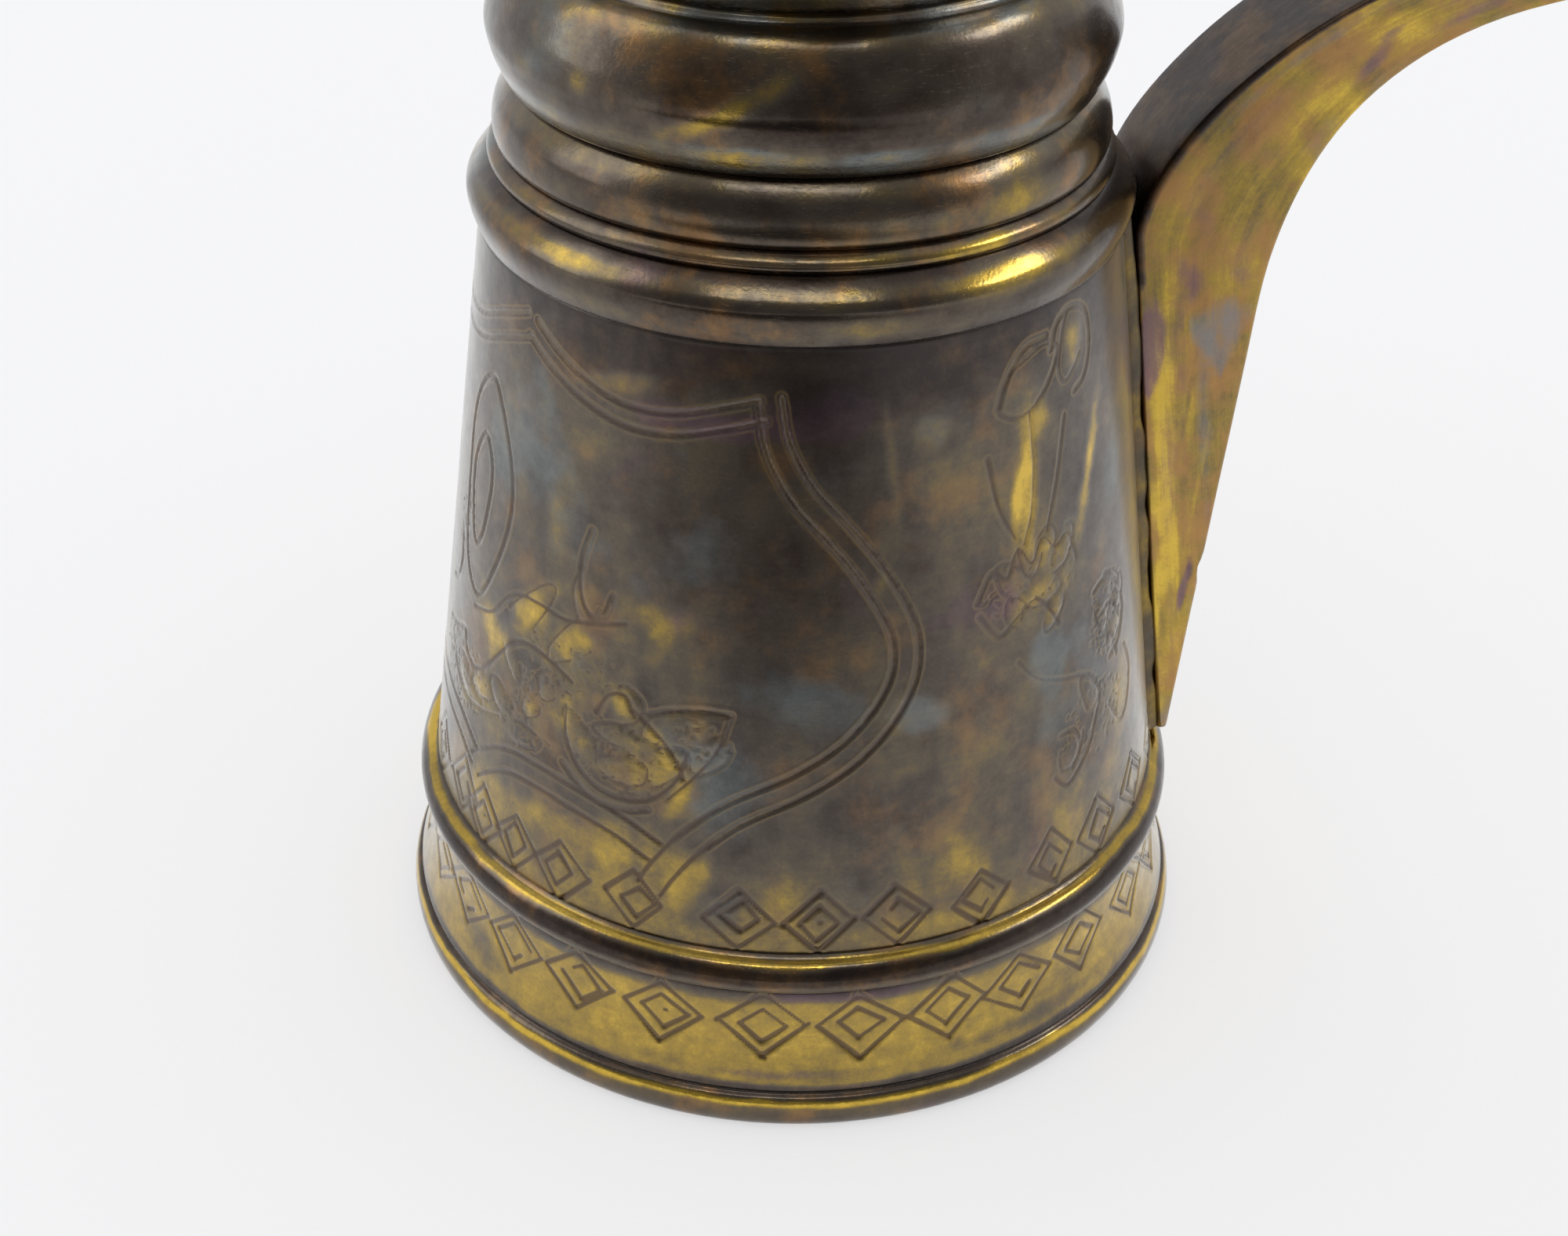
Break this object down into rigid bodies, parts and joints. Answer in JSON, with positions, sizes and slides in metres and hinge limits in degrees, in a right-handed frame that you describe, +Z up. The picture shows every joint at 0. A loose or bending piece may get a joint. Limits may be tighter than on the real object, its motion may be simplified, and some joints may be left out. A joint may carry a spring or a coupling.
{
  "type": "turkish coffee pot",
  "caption": "Small brass coffee pot with a flared foot, engraved conical body, ringed collar, bulging neck, flared mouth with a pouring lip, and a long cast handle with a hanging ring.",
  "frame": {"origin": "centre of the pot's underside, on the surface it stands on", "axes": "+Z up along the pot's turning axis, +X along the handle away from the pot, -Y towards the pouring lip"},
  "size_m": [0.1975, 0.0698, 0.1071],
  "materials": {
    "aged_brass": "aged brass, satin, brown and olive tarnish",
    "engraved_brass": "engraved brass with dark tarnish in the lines",
    "handle_brass": "cast brass, yellow with violet and grey patches",
    "dark_solder": "dark hard solder"
  },
  "bodies": {
    "pot": {"base_plate": "aged_brass", "foot_roll": "aged_brass", "foot_band": "engraved_brass", "waist_bead": "aged_brass", "body_cone": "engraved_brass", "collar_roll": "aged_brass", "collar_bead": "aged_brass", "collar_torus": "aged_brass", "neck_bulb": "aged_brass", "neck_cup": "aged_brass", "rim_wire": "aged_brass", "handle_arm": "handle_brass", "solder_seam_near": "dark_solder", "solder_seam_far": "dark_solder"},
    "ring": {"hanging_ring": "aged_brass"}
  },
  "joints": [
    {"name": "ring_swing", "type": "hinge", "parent": "pot", "child": "ring", "pos_m": [0.158, 0, 0.1025], "axis": [0, 1, 0], "range_deg": [-264, 64]}
  ]
}
